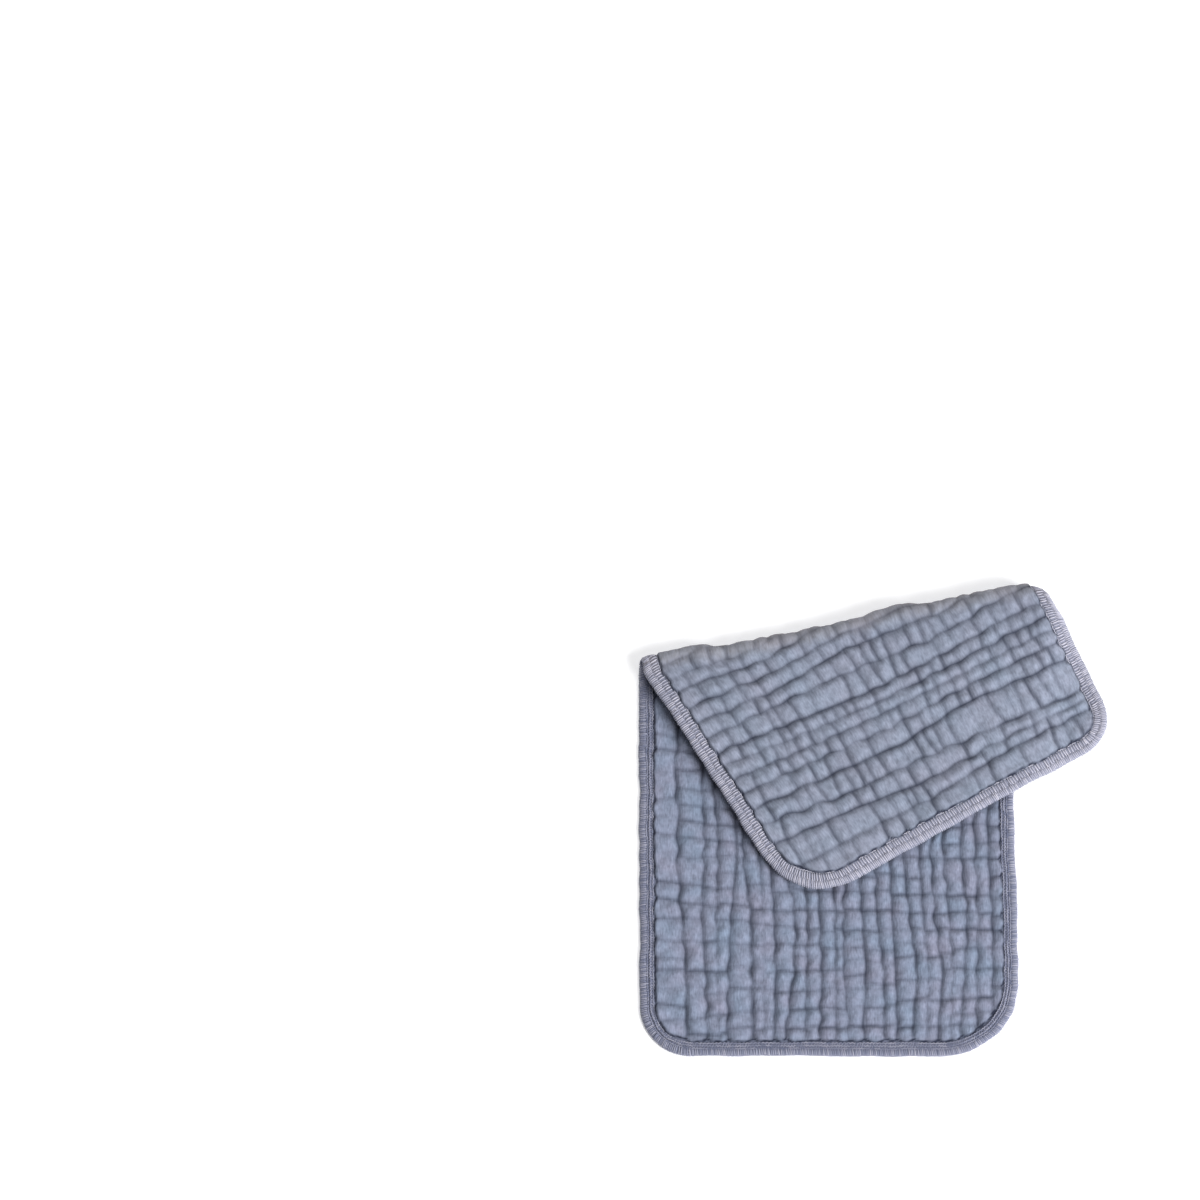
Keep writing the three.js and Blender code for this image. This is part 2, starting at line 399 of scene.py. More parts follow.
@dataclass
class CreaseField:
    """The creases of one face: long ones, and short ones in the bands between them."""

    width: float
    length: float
    stations: tuple[float, ...]
    long_creases: tuple[LongCrease, ...]
    short_creases: tuple[ShortCrease, ...]
    seed: int
    hem: float = 10.0
    long_pitch: float = 10.6
    long_room: float = 1.5
    long_steps: Span = (0.8, 1.25)
    long_shift: float = 1.2
    long_depth: Span = (0.35, 1.0)
    long_fade: Span = (0.7, 1.0)
    short_pitch: float = 11.5
    short_pitches: Span = (0.85, 1.35)
    short_shift: float = 0.2
    short_slope: float = 0.14
    short_bow: float = 0.02
    short_depth: Span = (0.08, 0.74)
    table_shift: float = 1.3
    table_slope: float = 0.12
    table_depth: Span = (0.4, 1.05)
    carried: float = 0.6
    carried_step: float = 1.4
    carried_clear: float = 0.6
    carried_depth: Span = (0.75, 1.15)
    fading: float = 0.38
    fading_pace: float = 0.6
    fading_shift: float = 31.0
    wiggle: float = 0.85
    wiggle_seed: int = 10
    wiggle_waves: tuple[float, float, int] = (13.0, 30.0, 4)
    wander: float = 2.2
    wander_seed: int = 210
    wander_waves: tuple[float, float, int] = (60.0, 140.0, 3)
    wander_rise: float = 60.0
    long_reach: float = 5.7
    short_reach: float = 5.2
    softness: float = 1.95
    bottom_reach: float = 1.9
    bottom_softness: float = 1.05
    short_bottom: float = 0.72
    step_over: float = 1.8
    pit: float = 0.4
    open_crease: float = 0.7

    def __post_init__(self) -> None:
        """Completes the long creases beyond the table, and sets the short ones band by band."""
        draw = np.random.default_rng(self.seed)
        count = len(self.stations)
        places = [crease.at for crease in self.long_creases]
        depths = [crease.depth for crease in self.long_creases]
        last = np.array(places[-1])
        while last.max() + self.long_room * self.long_pitch < self.width - self.hem:
            last = last + self.long_pitch * draw.uniform(*self.long_steps) + draw.uniform(
                -self.long_shift, self.long_shift, count)
            places.append(last)
            depths.append(draw.uniform(*self.long_depth) * draw.uniform(*self.long_fade, count))
        self.places, self.depths = np.array(places), np.clip(np.array(depths), 0.0, 1.0)
        seeds = range(self.seed, self.seed + len(places))
        self.waves = [Ripple(seed + self.wiggle_seed, *self.wiggle_waves) for seed in seeds]
        self.drifts = [Ripple(seed + self.wander_seed, *self.wander_waves) for seed in seeds]
        self.bands: list[Array] = []
        for number in range(len(places) + 1):
            self.bands.append(self.short_band(number, draw))

    def short_band(self, number: int, draw: np.random.Generator) -> Array:
        """Sets the short creases of one band.

        Args:
            number: The band, 0 beside the first hem.
            draw: The seeded draw.

        Returns:
            One row for each short crease: its place, slope, depth, middle of its band, and bow.
        """
        mean = self.places.mean(axis=1)
        low = mean[number - 1] if number else self.hem
        high = mean[number] if number < len(mean) else self.width - self.hem
        centre = 0.5 * (low + high)

        def either(size: float) -> float:
            """Draws a number between -size and size."""
            return draw.uniform(-size, size)

        def row(place: float, slope: float, depth: float) -> tuple[float, ...]:
            """Returns one short crease, with a drawn bow."""
            return place, slope, depth, centre, either(self.short_bow)

        rows = []
        for crease in self.short_creases:
            if crease.start <= centre <= crease.end:
                slope = (crease.end_at - crease.at) / (crease.end - crease.start)
                rows.append(row(crease.at + slope * (centre - crease.start) + either(self.table_shift),
                                slope + either(self.table_slope), crease.depth * draw.uniform(*self.table_depth)))
        for place, slope, depth, middle, _ in self.bands[-1] if self.bands else ():
            place = place + slope * (centre - middle) + either(self.carried_step)
            clear = min([abs(place - other[0]) for other in rows] + [self.short_pitch])
            if (depth < self.short_depth[1] and clear > self.carried_clear * self.short_pitch
                    and draw.random() < self.carried):
                rows.append(row(place, either(self.short_slope), depth * draw.uniform(*self.carried_depth)))
        rows.sort()
        stops = [self.hem] + [other[0] for other in rows] + [self.length - self.hem]
        for start, end in zip(stops[:-1], stops[1:]):
            count = max(int(round((end - start) / (self.short_pitch * draw.uniform(*self.short_pitches)))), 1)
            for step in range(1, count):
                place = start + (end - start) * (step + either(self.short_shift)) / count
                rows.append(row(place, either(self.short_slope), draw.uniform(*self.short_depth)))
        return np.array(sorted(rows)).reshape(-1, 5)

    def lines(self, along: Array) -> Array:
        """Returns the places of all long creases at stations along them, one column each."""
        last = self.stations[-1]
        beyond = self.wander * smooth_step(along, last, last + self.wander_rise)
        return np.stack([np.interp(along, self.stations, place) + self.wiggle * wave.along(along)
                         + beyond * drift.along(along)
                         for place, wave, drift in zip(self.places, self.waves, self.drifts)], axis=-1)

    def line_depths(self, along: Array) -> Array:
        """Returns the depths of all long creases at stations along them, one column each."""
        faded = along * self.fading_pace + self.fading_shift
        return np.clip(np.stack([np.interp(along, self.stations, depth) * (1.0 + self.fading * wave.along(faded))
                                 for depth, wave in zip(self.depths, self.waves)], axis=-1), 0.0, 1.0)

    def cut(self, gap: Array, reach: float) -> Pair:
        """Returns the soft dip of a crease at gaps from it, and the narrow bottom that sets its painted shade."""
        return (np.clip(1.0 - gap / reach, 0.0, 1.0) ** self.softness,
                np.clip(1.0 - gap / self.bottom_reach, 0.0, 1.0) ** self.bottom_softness)

    def short_dips(self, number: Array, across: Array, along: Array) -> Array:
        """Measures how deep the short creases of each point's band cut.

        Args:
            number: The band of each point.
            across: The points, across the bands.
            along: The points, along the bands.

        Returns:
            Two rows, 0 away from the creases and up to 1 in them: the soft dip and its narrow bottom, which sets
            painted shade.
        """
        dips = np.zeros((2, len(across)))
        for band, rows in enumerate(self.bands):
            here = number == band
            if not here.any() or not len(rows):
                continue
            place, slope, depth, centre, bow = rows.T
            beside = across[here][:, None] - centre
            soft, narrow = self.cut(np.abs(along[here][:, None] - place - slope * beside - bow * beside**2),
                                    self.short_reach)
            dips[0, here] = 1.0 - np.prod(1.0 - depth * soft, axis=1)
            dips[1, here] = 1.0 - np.prod(1.0 - self.short_bottom * depth * narrow, axis=1)
        return dips

    def measure(self, across: Array, along: Array) -> Pair:
        """Measures the puffs and creases at each point.

        Args:
            across: The points, across the long creases.
            along: The points, along the long creases.

        Returns:
            How much of a puff's height stands, 1 on a puff and under 0 where creases cross, and the
            share of the creases' narrow bottoms, which sets their painted shade.
        """
        lines, depths = self.lines(along), self.line_depths(along)
        number = (across[:, None] >= lines).sum(axis=1)
        row, last = np.arange(len(across)), lines.shape[1] - 1
        below, above = np.clip(number - 1, 0, last), np.clip(number, 0, last)
        to_below = np.where(number > 0, across - lines[row, below], np.inf)
        to_above = np.where(number <= last, lines[row, above] - across, np.inf)
        long_soft, long_narrow = np.zeros(len(across)), np.zeros(len(across))
        for gap, line in ((to_below, below), (to_above, above)):
            soft, narrow = self.cut(gap, self.long_reach)
            long_soft = 1.0 - (1.0 - long_soft) * (1.0 - depths[row, line] * soft)
            long_narrow = np.maximum(long_narrow, depths[row, line] * narrow)
        neighbour = np.where(to_below < to_above, number - 1, number + 1)
        mixed = 0.5 * np.clip(1.0 - np.minimum(to_below, to_above) / self.step_over, 0.0, 1.0)
        short_soft, short_narrow = blend(self.short_dips(number, across, along),
                                         self.short_dips(neighbour, across, along), mixed)
        standing = (1.0 - long_soft) * (1.0 - short_soft) - self.pit * long_soft * short_soft
        bottoms = long_narrow * (self.open_crease + (1.0 - self.open_crease) * short_soft)
        return standing, 1.0 - (1.0 - bottoms) * (1.0 - short_narrow)


LAID_STATIONS = (20, 60, 100, 140)
LAID_LONG = tuple(LongCrease(at, depth) for at, depth in (
    ((31, 31, 28, 25.5), (0.8, 0.8, 0.8, 0.9)),
    ((45, 44, 41.6, 43.6), (0.8, 0.8, 0.7, 0.7)),
    ((53, 52, 51.5, 53), (0.2, 0.2, 0.5, 0.8)),
    ((58.5, 59.5, 61.5, 65.5), (1, 0.8, 0.8, 0.7)),
    ((76, 75.3, 75, 70), (0.8, 0.7, 0.9, 0.8)),
    ((83.5, 83, 83, 81), (0.4, 0.1, 0.1, 0.7)),
    ((90, 91.3, 90.6, 88), (0.8, 0.9, 0.9, 0.8)),
    ((98, 103.5, 104.8, 97.5), (1, 1, 0.6, 0.9)),
    ((111, 112, 112.8, 110), (0.5, 0.7, 0.8, 0.8)),
    ((120.7, 122.3, 121, 119.5), (0.9, 0.9, 0.8, 1)),
    ((131.5, 131.5, 131.5, 130.5), (0.5, 0.5, 0.7, 0.9)),
    ((140, 137, 137, 138.5), (0.4, 0.7, 0.8, 0.7)),
    ((149.7, 152, 149.7, 148), (0.7, 0.9, 0.8, 0.8)),
    ((164, 164, 159.5, 159), (0.7, 0.8, 0.8, 0.8)),
    ((172.5, 172, 170, 169), (0.8, 1, 0.8, 0.8)),
    ((183, 186.5, 181.5, 178.5), (0.8, 0.8, 0.9, 0.8)),
    ((192.5, 194, 190.8, 189), (0.4, 0.3, 0.7, 0.8)),
    ((200, 203.6, 198.5, 197), (0.8, 0.8, 0.8, 0.9)),
    ((208, 210, 208.3, 205.5), (0.3, 0.2, 0.7, 0.8)),
    ((215, 218, 220.5, 217.5), (0.8, 0.6, 0.8, 0.9)),
    ((226, 226.5, 227.5, 227), (0.8, 0.7, 0.5, 0.8)),
    ((236, 237.2, 237.2, 236), (0.8, 0.7, 0.8, 0.9)),
))
LAID_SHORT = tuple(ShortCrease(start, end, at, end_at, depth) for start, end, at, end_at, depth in (
    (10, 58, 14, 15, 0.9),
    (60, 186, 19, 21, 1),
    (186, 246, 21.5, 22.5, 0.8),
    (12, 59, 25.5, 28, 0.8),
    (99, 125, 32.5, 33.5, 0.9),
    (150, 171, 35.5, 35.5, 0.7),
    (171, 232, 40.5, 42, 0.9),
    (59, 74, 47, 47, 0.6),
    (150, 175, 51.5, 51.5, 0.6),
    (10, 61, 59.5, 59.5, 0.95),
    (91, 120, 60.5, 61.5, 0.7),
    (200, 245, 63, 63, 0.9),
    (171, 202, 71.5, 72, 0.8),
    (12, 121, 80.5, 79, 0.75),
    (112, 160, 89.5, 90.5, 0.85),
    (183, 245, 91.5, 92.5, 0.95),
    (12, 44, 96.5, 97.5, 0.6),
    (10, 75, 110, 106, 0.95),
    (75, 180, 103.5, 105, 0.95),
    (181, 240, 104, 104.5, 0.8),
    (176, 245, 116.5, 117, 0.95),
    (196, 245, 144.5, 145, 0.9),
    (10, 96, 158, 149, 0.7),
    (210, 245, 168, 169, 0.8),
))
TURNED_STATIONS = (20, 70, 120, 170, 220)
TURNED_LONG = tuple(LongCrease(at, depth) for at, depth in (
    ((23, 23, 21.5, 25.5, 26), (0.6, 0.4, 0.6, 0.8, 0.8)),
    ((42, 39, 33.5, 34, 33.5), (0.9, 0.9, 0.9, 0.6, 0.4)),
    ((56, 49.5, 48, 44.5, 41), (0.9, 0.9, 0.5, 0.7, 0.8)),
    ((67.5, 65, 62.5, 67.5, 64), (0.9, 0.9, 1, 1, 1)),
    ((79, 77.5, 75, 77, 76.5), (0.6, 0.6, 0.5, 0.8, 0.9)),
    ((89.5, 87, 85.5, 85.5, 86), (0.7, 0.6, 0.7, 0.4, 0.5)),
    ((99.5, 96, 93.5, 94, 95.5), (0.4, 0.4, 0.6, 1, 1)),
    ((109, 105.5, 102, 103, 106), (1, 1, 0.95, 0.9, 0.6)),
    ((120, 120, 119, 115, 119.5), (0.5, 0.8, 0.5, 0.7, 0.9)),
    ((131, 129, 135, 129, 130.5), (0.6, 0.8, 0.9, 0.7, 0.6)),
    ((142, 140.5, 145.5, 140, 141), (0.8, 0.7, 0.5, 0.8, 0.8)),
))


@dataclass(frozen=True)
class HemRelief:
    """The half thickness of the hem on one face, from the edge in to the needle line."""

    edge: float = 0.9
    edge_round: float = 0.95
    band: float = 1.3
    band_from: float = 2.6
    lines_from: float = 2.0
    groove: float = 0.95
    groove_share: float = 0.8
    groove_at: float = 5.4
    groove_width: float = 1.1
    needle_at: float = 10.0
    needle: float = 0.7
    needle_width: float = 1.3
    inside: Span = (10.0, 11.8)

    def height(self, inset: Array) -> Array:
        """Returns the hem's half thickness at distances from the edge."""
        rolled = self.edge * quarter_round(inset, self.edge_round)
        body = blend(rolled, self.band, smooth_step(inset, self.edge_round, self.band_from))
        groove = self.groove_share * peak(inset, self.groove_at, self.groove_width)
        needle = peak(inset, self.needle_at, self.needle_width)
        lined = inset > self.lines_from
        return blend(blend(body, self.groove, groove * lined), self.needle, needle * lined)


@dataclass
class Relief:
    """The height of each face above the cloth's middle: puffs, creases and hem, with the shares of painted shade and
    hem colour.
    """

    shape: FoldedShape
    outline: Outline
    hem: HemRelief = HemRelief()
    puff: float = 2.6
    flap_puff: float = 1.16
    stretched: float = 0.3
    stretched_fades: Span = (6.0, 26.0)
    crease: float = 0.55
    uneven: float = 0.26
    pressed: float = 0.22
    pressed_rises: Span = (-5.0, 15.0)
    seam_shade: float = 1.05
    seam_shade_in_dips: float = 0.6
    seam_shade_limit: float = 1.25
    dashed: float = 0.4
    seam_at: float = 10.7
    seam_width: float = 0.95
    scallop: float = 0.6
    bulge: float = 2.4
    bulge_level: float = 0.45
    bulge_rises: Span = (7.0, 9.5)
    valley_shade_limit: float = 1.3
    hem_ends: Span = (9.4, 10.2)

    def __post_init__(self) -> None:
        """Sets the creases of the two faces."""
        self.fields = {
            Face.LAID: CreaseField(self.shape.width, self.shape.length, LAID_STATIONS, LAID_LONG, LAID_SHORT,
                                   seed=11, short_pitch=13.0),
            Face.TURNED: CreaseField(self.shape.length, self.shape.width, TURNED_STATIONS, TURNED_LONG, (),
                                     seed=37, long_pitch=10.8, short_pitch=9.6, short_depth=(0.1, 0.88),
                                     carried=0.35, short_bottom=0.95),
        }
        self.fullness = Ripple(seed=5, shortest=11.0, longest=30.0, waves=9)
        self.dashes = Ripple(seed=7, shortest=3.2, longest=9.0, waves=7)
        self.scallops = Ripple(seed=6, shortest=8.0, longest=17.0, waves=6)

    def measure(self, face: Face, u: Array, v: Array) -> dict[str, Array]:
        """Measures one face of the cloth.

        Args:
            face: The face.
            u: Millimetres across the flat cloth.
            v: Millimetres along the flat cloth.

        Returns:
            The height above the middle, and the shares that colour it: painted shade in the crease bottoms and the
            needle-line groove, painted shade in the valleys, and the hem.
        """
        on_flap = v - self.shape.crest("along", u / self.shape.width)
        if face is Face.LAID:
            standing, bottoms = self.fields[face].measure(u, v)
            puff = self.puff * (1.0 - self.pressed * smooth_step(on_flap, *self.pressed_rises))
        else:
            standing, bottoms = self.fields[face].measure(self.shape.length - v, u)
            calm = self.stretched * (1.0 - smooth_step(np.abs(on_flap), *self.stretched_fades))
            standing, bottoms = blend(standing, 1.0, calm), bottoms * (1.0 - calm)
            puff = self.puff * self.flap_puff
        full = 1.0 + self.uneven * self.fullness.over(u, v)
        inside = self.crease + (puff * full - self.crease) * standing
        dip = np.clip(1.0 - standing, 0.0, 1.0)
        inset = self.outline.inset(u, v)
        bulged = self.scallop * self.scallops.over(u, v) + self.bulge * (self.bulge_level - dip)
        scalloped = inset + bulged * smooth_step(inset, *self.bulge_rises)
        share = smooth_step(scalloped, *self.hem.inside)
        # Painted shade along the needle-line groove, darker where the puffs dip and broken into dashes.
        sewn = self.seam_shade + self.seam_shade_in_dips * dip + self.dashed * self.dashes.over(u, v)
        seam_shade = peak(scalloped, self.seam_at, self.seam_width) * np.clip(sewn, 0.0, self.seam_shade_limit)
        # The crease share is painted shade in the narrow crease bottoms and along the needle-line groove; the valley
        # share is painted shade over each whole dip between puffs.
        return {"height": blend(self.hem.height(inset), inside, share),
                "crease": np.maximum(bottoms * share, seam_shade),
                "valley_shade": np.clip(1.0 - standing, 0.0, self.valley_shade_limit) * share,
                "hem": 1.0 - smooth_step(scalloped, *self.hem_ends)}


def linked(name: str, data: bpy.types.ID) -> bpy.types.Object:
    """Returns a new object in the scene."""
    made = bpy.data.objects.new(name, data)
    bpy.context.scene.collection.objects.link(made)
    return made


def meshed(name: str, points: Array, faces: list, values: dict[str, Array]) -> bpy.types.Object:
    """Makes a smooth mesh object.

    Args:
        name: Its name.
        points: The places of its points, in metres.
        faces: Its faces, each the numbers of its points.
        values: What each point carries for the material, by name.

    Returns:
        The object.
    """
    mesh = bpy.data.meshes.new(name)
    mesh.from_pydata(points.tolist(), [], faces)
    for carried, value in values.items():
        mesh.attributes.new(carried, "FLOAT", "POINT").data.foreach_set("value", value.astype(np.float32))
    mesh.shade_smooth()
    LOG.info("%s: %d points, %d faces", name, len(points), len(faces))
    return linked(name, mesh)


@dataclass
class ClothSheet:
    """The whole cloth as one closed sheet, finer on the faces that show."""

    shape: FoldedShape
    outline: Outline
    relief: Relief
    origin: Vector
    columns: int = 202
    rows: int = 376
    hem_steps: tuple[float, ...] = (0.0, 0.35, 1.0, 2.0, 3.2, 4.4, 5.7, 7.1, 8.4, 9.5, 10.4, 11.4)
    laid_fine_to: float = 262.0
    turned_fine_from: float = 248.0
    aligned_from: Span = (3.0, 14.0)
    uv_scale: float = 0.1
    ring: tuple[tuple[int, int], ...] = ((0, 0), (1, 0), (2, 0), (2, 1), (2, 2), (1, 2), (0, 2), (0, 1))
    name: str = "gauze_cloth"

    def __post_init__(self) -> None:
        """Draws the wave of the edge."""
        self.edge_wave = Ripple(seed=3, shortest=14.0, longest=60.0, waves=7)

    def spaced(self, count: int, size: float) -> Array:
        """Returns the places of the grid's lines over one side, closer at the hems."""
        steps = np.array(self.hem_steps)
        inner = np.linspace(steps[-1], size - steps[-1], count - 2 * (len(steps) - 1) + 1)
        return np.concatenate([steps[:-1], inner, (size - steps[:-1])[::-1]])

    def aligned(self, base: Array, along: Array, creases: CreaseField) -> Pair:
        """Moves grid lines onto the nearest long creases.

        Args:
            base: The places of the grid's lines.
            along: The stations along the creases.
            creases: The creases of the face.

        Returns:
            The new places, one row for each station, and how much they count there.
        """
        lines = creases.lines(along)
        index = [int(np.abs(base - place).argmin()) for place in lines.mean(axis=0)]
        rim, far_rim = [0.0, creases.hem], [creases.width - creases.hem, creases.width]
        knots = np.concatenate([rim, base[index], far_rim])
        moved = np.stack([np.interp(base, knots, np.concatenate([rim, places, far_rim])) for places in lines])
        return moved, smooth_step(np.minimum(along, creases.length - along), *self.aligned_from)

    def flat_grid(self, face: Face) -> Pair:
        """Lays the grid of one face on the flat cloth.

        Args:
            face: The face.

        Returns:
            The points' places, across and along, one row for each row of the grid.
        """
        base_u, base_v = self.spaced(self.columns, self.shape.width), self.spaced(self.rows, self.shape.length)
        u, v = np.meshgrid(base_u, base_v)
        creases = self.relief.fields[face]
        if face is Face.LAID:
            moved, share = self.aligned(base_u, base_v, creases)
            u = blend(u, moved, share[:, None])
        else:
            moved, share = self.aligned((self.shape.length - base_v)[::-1], base_u, creases)
            v = blend(v, self.shape.length - moved[:, ::-1].T, share[None, :])
        return self.outline.rounded(u, v)

    def wavy(self, u: Array, v: Array) -> Pair:
        """Moves flat points a little across the edge, which isn't cut and sewn quite straight."""
        near = 1.0 - smooth_step(self.outline.inset(u, v), 0.0, self.outline.uneven_depth)
        out_x, out_y = self.outline.outward(u, v)
        amount = self.outline.uneven * self.edge_wave.over(u, v) * near
        return u + out_x * amount, v + out_y * amount

    def placed(self, face: Face, u: Array, v: Array, height: Array) -> Array:
        """Places points at a height above one face's side of the folded middle.

        Args:
            face: The face.
            u: Millimetres across the flat cloth.
            v: Millimetres along the flat cloth.
            height: Millimetres above the middle.

        Returns:
            The points in metres, in the part's frame.
        """
        wavy_u, wavy_v = self.wavy(u, v)
        points = self.shape.middle(wavy_u, wavy_v)
        points = points + face.value * height[..., None] * self.shape.normal(wavy_u, wavy_v)
        points[..., 2] = np.maximum(points[..., 2], 0.0)
        return points * MILLIMETRE + np.array(self.origin)

    def polygons(self, fine_from: int, fine_to: int) -> list[list[tuple[int, int]]]:
        """Lists the cells of one face, of single cells in the fine rows and double ones elsewhere.

        Args:
            fine_from: The first fine row of cells, an even number.
            fine_to: The row after the last fine one, an even number.

        Returns:
            The cells, each the grid places of its corners, anticlockwise.
        """
        cells = [[(i, j), (i + 1, j), (i + 1, j + 1), (i, j + 1)]
                 for j in range(fine_from, fine_to) for i in range(self.columns)]
        for j in [*range(0, fine_from, 2), *range(fine_to, self.rows, 2)]:
            for i in range(0, self.columns, 2):
                split = {1: j in (0, fine_to), 3: i + 2 == self.columns, 5: j + 2 in (self.rows, fine_from), 7: i == 0}
                cells.append([(i + right, j + up) for place, (right, up) in enumerate(self.ring)
                              if split.get(place, True)])
        return cells

    def build(self) -> bpy.types.Object:
        """Builds the cloth.

        Returns:
            The finished object, not yet dressed.
        """
        base_v = self.spaced(self.rows, self.shape.length)
        laid_rows = 2 * int(np.searchsorted(base_v, self.laid_fine_to) // 2)
        turned_rows = 2 * int(np.searchsorted(base_v, self.turned_fine_from) // 2)
        records, polygons = [], []
        ids: dict[tuple[int, int, int], int] = {}
        for face, span in ((Face.LAID, (0, laid_rows)), (Face.TURNED, (turned_rows, self.rows))):
            u, v = self.flat_grid(face)
            measured = {name: value.reshape(u.shape)
                        for name, value in self.relief.measure(face, u.ravel(), v.ravel()).items()}
            rim = np.zeros(u.shape, dtype=bool)
            rim[[0, -1], :] = rim[:, [0, -1]] = True
            placed = self.placed(face, u, v, np.where(rim, 0.0, measured["height"]))
            turned = np.full(u.shape, float(face is Face.TURNED))
            # Each point carries its place, its flat place, and the shares of painted crease shade, painted valley
            # shade, hem and painted fold reflection, the last on the turned face only.
            grid = np.dstack([placed, u, v, measured["crease"], measured["valley_shade"], measured["hem"],
                              self.shape.painted_fold_reflection(u, v) * turned, turned])
            for cell in self.polygons(*span):
                polygon = []
                for i, j in cell:
                    key = (0 if rim[j, i] else face.value, i, j)
                    if key not in ids:
                        ids[key] = len(records)
                        records.append(grid[j, i])
                    polygon.append(ids[key])
                # Seen from above, the turned face's cells run clockwise.
                polygons.append(polygon[::face.value])
        table = np.array(records)
        cloth = meshed(self.name, table[:, :3], polygons,
                       dict(zip(("crease", "valley_shade", "hem", "fold", "turned"), table[:, 5:].T)))
        corners = np.empty(len(cloth.data.loops), dtype=np.int32)
        cloth.data.loops.foreach_get("vertex_index", corners)
        flat = table[:, 3:5].astype(np.float32)[corners] * self.uv_scale
        cloth.data.uv_layers.new(name="flat_cloth").data.foreach_set("uv", flat.ravel())
        return cloth


class NodeBench:
    """Lays out the nodes of one material and joins them."""

    def __init__(self, name: str) -> None:
        """Starts a material with only its output and its surface shader."""
        self.material = bpy.data.materials.new(name)
        self.material.use_nodes = True
        self.tree = self.material.node_tree
        self.shader = self.tree.nodes["Principled BSDF"]

    def join(self, node: bpy.types.Node, inputs: dict) -> None:
        """Sets a node's inputs, each by an output socket or a value."""
        for place, value in inputs.items():
            if isinstance(value, bpy.types.NodeSocket):
                self.tree.links.new(value, node.inputs[place])
            else:
                node.inputs[place].default_value = value

    def node(self, kind: str, inputs: dict | None = None, **settings: object) -> bpy.types.Node:
        """Adds a node.

        Args:
            kind: Its type.
            inputs: What goes into its inputs, by the input's name or number.
            settings: Its own settings.

        Returns:
            The node.
        """
        made = self.tree.nodes.new(kind)
        for name, value in settings.items():
            setattr(made, name, value)
        self.join(made, inputs or {})
        return made

    def mix(self, share: object, start: object, end: object) -> Socket:
        """Returns the colour a share of the way from start to end."""
        return self.node("ShaderNodeMix", {0: share, 6: start, 7: end}, data_type="RGBA").outputs[2]

    def sum(self, operation: str, first: object, second: object, clamp: bool = False) -> Socket:
        """Returns the result of one operation on two values."""
        return self.node("ShaderNodeMath", {0: first, 1: second}, operation=operation, use_clamp=clamp).outputs[0]

    def times(self, value: object, share: float) -> Socket:
        """Returns a share of a value."""
        return self.sum("MULTIPLY", value, share)

    def ramp(self, value: object, low: float, high: float) -> Socket:
        """Returns 0 to 1 as the value goes from low to high."""
        return self.node("ShaderNodeMapRange", {0: value, 1: low, 2: high}, clamp=True).outputs[0]

    def noise(self, place: object, scale: float, detail: float) -> Socket:
        """Returns a noise at the places, about 0.5 on average."""
        return self.node("ShaderNodeTexNoise", {"Vector": place, "Scale": scale, "Detail": detail}).outputs[0]

    def bump(self, height: object, strength: float, distance: float) -> Socket:
        """Returns the surface's direction over small heights."""
        return self.node("ShaderNodeBump", {"Height": height, "Strength": strength, "Distance": distance}).outputs[0]

    def carried(self, name: str) -> Socket:
        """Returns what the mesh's points carry under a name."""
        return self.node("ShaderNodeAttribute", attribute_name=name).outputs["Fac"]


def colour(tone: Tone) -> tuple[float, float, float, float]:
    """Returns a colour given in sRGB, 0 to 255, as the shader takes it."""
    linear = [((part / 255.0 + 0.055) / 1.055) ** 2.4 if part > 10 else part / 255.0 / 12.92 for part in tone]
    return (*linear, 1.0)


